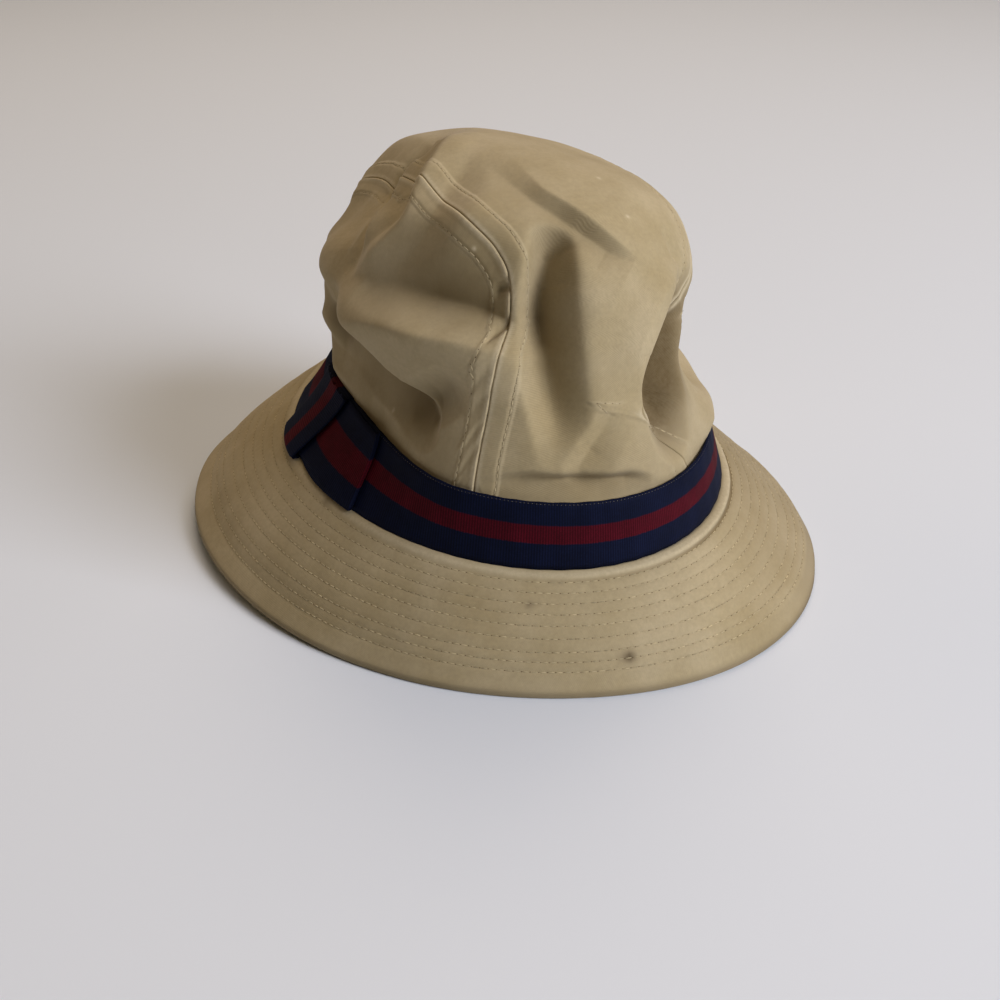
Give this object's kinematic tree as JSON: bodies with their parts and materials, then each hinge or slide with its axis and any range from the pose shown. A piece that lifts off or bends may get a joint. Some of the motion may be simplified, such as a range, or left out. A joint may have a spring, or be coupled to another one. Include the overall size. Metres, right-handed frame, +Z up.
{
  "type": "soft fedora hat",
  "caption": "Soft cotton twill fedora: panelled crown with a centre dent and front pinches, sloping stitched brim, and a striped grosgrain band with a flat bow.",
  "frame": {"origin": "middle of the hat's outline on the surface that the brim's edge rests on", "axes": "+Z up through the crown, -Y towards the front with its two pinches, -X towards the side with the bow"},
  "size_m": [0.2424, 0.2734, 0.1586],
  "materials": {
    "cotton_twill": "washed khaki cotton twill, matt",
    "striped_ribbon": "ribbed grosgrain ribbon, navy with a maroon middle stripe"
  },
  "bodies": {
    "root": {"crown_centre_panel": "cotton_twill", "crown_left_panel": "cotton_twill", "crown_right_panel": "cotton_twill", "brim": "cotton_twill", "hat_band": "striped_ribbon", "band_bow": "striped_ribbon", "bow_knot": "striped_ribbon"}
  },
  "joints": []
}
